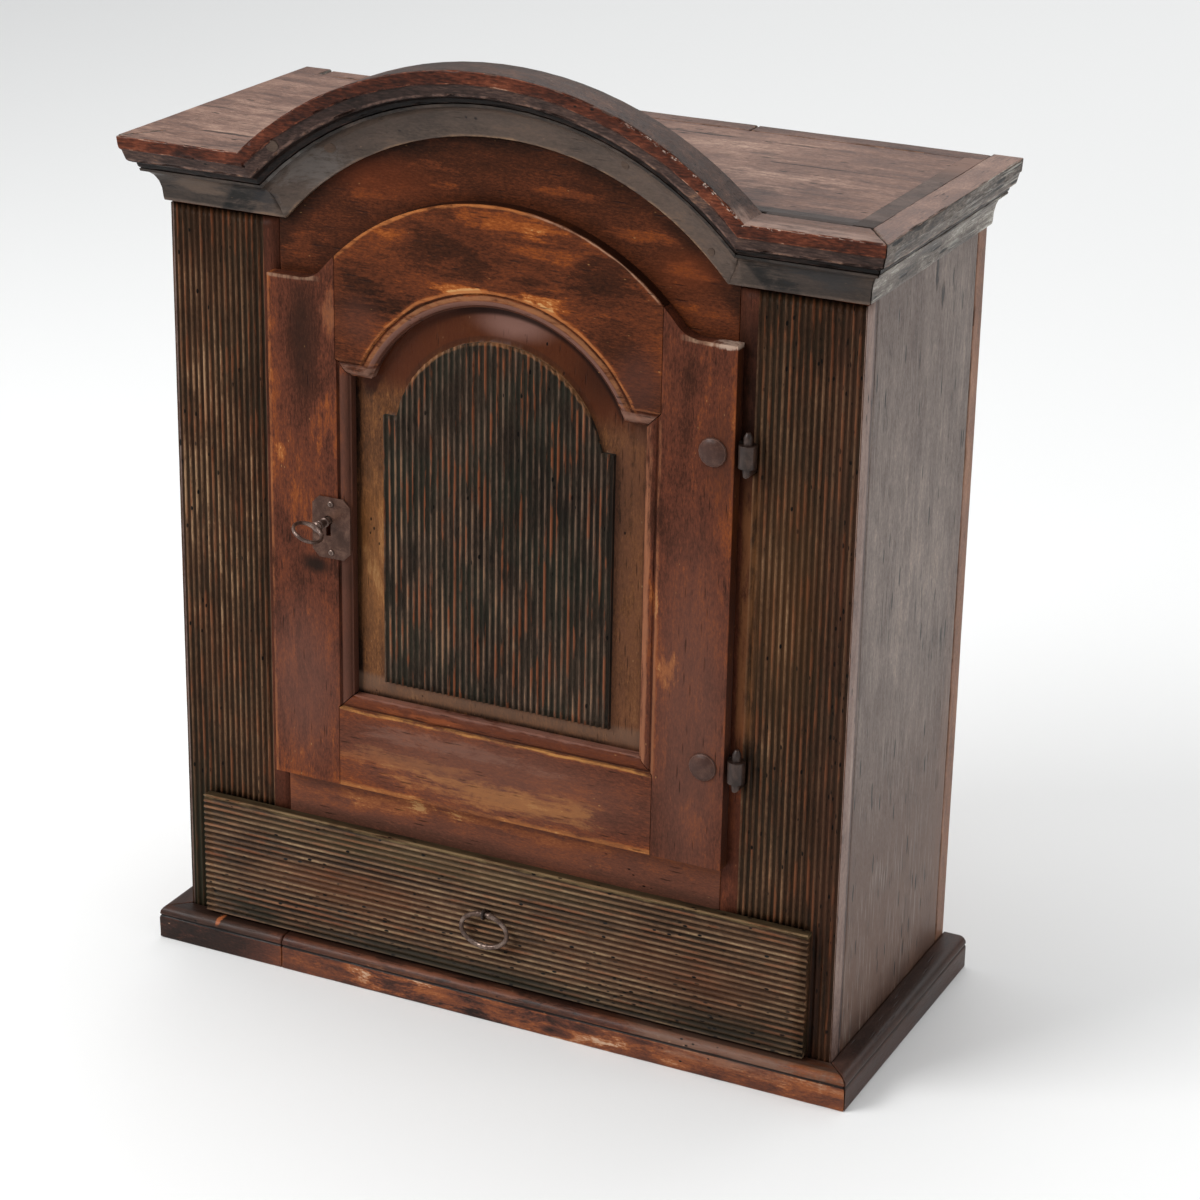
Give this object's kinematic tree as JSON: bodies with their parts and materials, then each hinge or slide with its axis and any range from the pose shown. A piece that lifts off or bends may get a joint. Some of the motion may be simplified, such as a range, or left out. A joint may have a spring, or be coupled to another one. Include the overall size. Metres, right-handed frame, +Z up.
{
  "type": "arched wooden cupboard",
  "caption": "Small antique wooden cupboard with an arched cornice, a panelled door on pin hinges with a lock and key, reeded front and a drawer with a ring pull.",
  "frame": {"origin": "on the floor, under the middle of the carcass footprint", "axes": "+Z up, +Y from the front to the back, +X to the right seen from the front"},
  "size_m": [0.61, 0.2975, 0.749],
  "materials": {
    "red_paint": "worn red-brown paint, waxed",
    "reeded_paint": "dark green-brown paint rubbed through on the reeds",
    "cove_paint": "dark grey-green paint",
    "worn_wood": "grey-brown worn paint, waxed",
    "raw_wood": "unpainted old softwood",
    "iron": "dark forged iron"
  },
  "bodies": {
    "carcass": {"bottom_board": "raw_wood", "side_left": "worn_wood", "side_right": "worn_wood", "drawer_runner_left": "raw_wood", "drawer_runner_right": "raw_wood", "shelf_cleat_left": "raw_wood", "shelf_cleat_right": "raw_wood", "deck_board": "raw_wood", "shelf": "raw_wood", "top_board": "worn_wood", "back_board_left": "raw_wood", "back_board_middle": "raw_wood", "back_board_right": "raw_wood", "front_stile_left": "reeded_paint", "front_stile_right": "reeded_paint", "middle_rail": "red_paint", "bottom_rail": "red_paint", "arched_top_rail": "red_paint", "crown_front": "red_paint", "crown_left": "worn_wood", "crown_right": "worn_wood", "cove_arch": "cove_paint", "cove_front_left": "cove_paint", "cove_front_right": "cove_paint", "cove_left": "cove_paint", "cove_right": "cove_paint", "plinth_front_left": "red_paint", "plinth_front_right": "red_paint", "plinth_left": "red_paint", "plinth_right": "red_paint", "pintle_lower": "iron", "pintle_upper": "iron", "bolt_keeper": "iron"},
    "door": {"door_stile_left": "red_paint", "door_stile_right": "red_paint", "door_top_rail": "red_paint", "door_bottom_rail": "red_paint", "door_panel": "reeded_paint", "hinge_strap_lower": "iron", "hinge_strap_upper": "iron", "hinge_rivet_lower": "iron", "hinge_rivet_upper": "iron", "escutcheon": "iron", "escutcheon_nail_lower": "iron", "escutcheon_nail_upper": "iron", "lock_case": "iron"},
    "key": {"key": "iron"},
    "bolt": {"lock_bolt": "iron"},
    "drawer": {"drawer_face": "reeded_paint", "drawer_front": "raw_wood", "drawer_bottom": "raw_wood", "drawer_side_left": "raw_wood", "drawer_side_right": "raw_wood", "drawer_back": "raw_wood", "ring_staple": "iron"},
    "ring": {"drawer_ring": "iron"}
  },
  "joints": [
    {"name": "door_hinge", "type": "hinge", "parent": "carcass", "child": "door", "pos_m": [0.199, -0.1282, 0.3725], "axis": [0, 0, 1], "range_deg": [0, 150]},
    {"name": "key_turn", "type": "hinge", "parent": "door", "child": "key", "pos_m": [-0.1395, -0.1325, 0.388], "axis": [0, 1, 0], "range_deg": [0, 126]},
    {"name": "bolt_slide", "type": "slide", "parent": "door", "child": "bolt", "axis": [-1, 0, 0], "range_m": [0, 0.01425]},
    {"name": "drawer_slide", "type": "slide", "parent": "carcass", "child": "drawer", "axis": [0, -1, 0], "range_m": [0, 0.16]},
    {"name": "ring_swing", "type": "hinge", "parent": "drawer", "child": "ring", "pos_m": [-0.0045, -0.1352, 0.089], "axis": [-1, 0, 0], "range_deg": [0, 100]}
  ],
  "couplings": [
    {"joint": "key_turn", "follows": "bolt_slide", "rad_per_m": 154.32}
  ]
}
